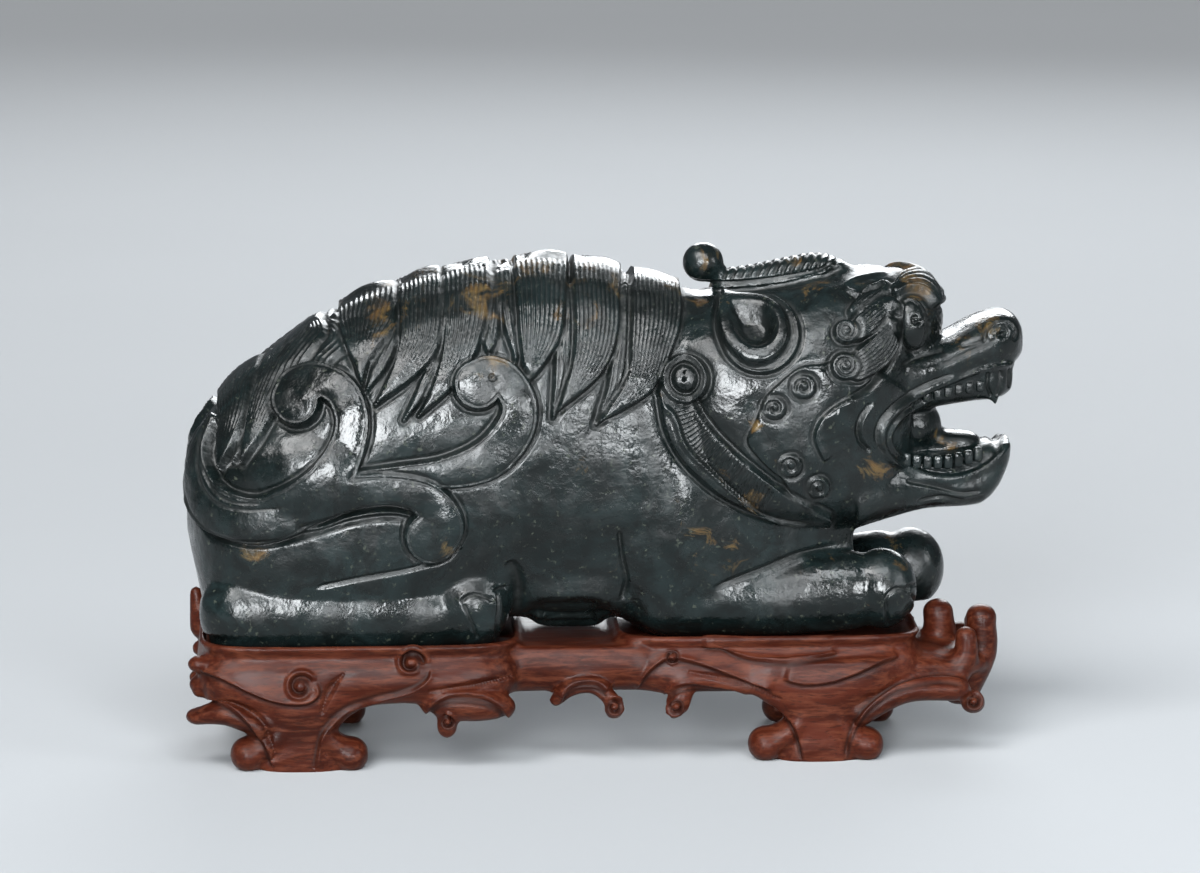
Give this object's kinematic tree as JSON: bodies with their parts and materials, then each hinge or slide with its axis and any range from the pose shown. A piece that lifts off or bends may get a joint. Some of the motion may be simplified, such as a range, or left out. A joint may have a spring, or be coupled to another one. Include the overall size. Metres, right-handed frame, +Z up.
{
  "type": "jade foo dog carving",
  "caption": "Dark green jade guardian beast, lying with its mouth open, with a scrolled tail and a combed mane, on a carved hardwood stand.",
  "frame": {"origin": "on the floor, at the middle of the object's footprint", "axes": "+X from the tail to the muzzle, +Y to the side away from the reference view, +Z up"},
  "size_m": [0.3349, 0.1173, 0.2023],
  "materials": {
    "jade": "polished",
    "hardwood": "satin"
  },
  "bodies": {
    "root": {"jade_beast": "jade", "wood_stand": "hardwood"}
  },
  "joints": []
}
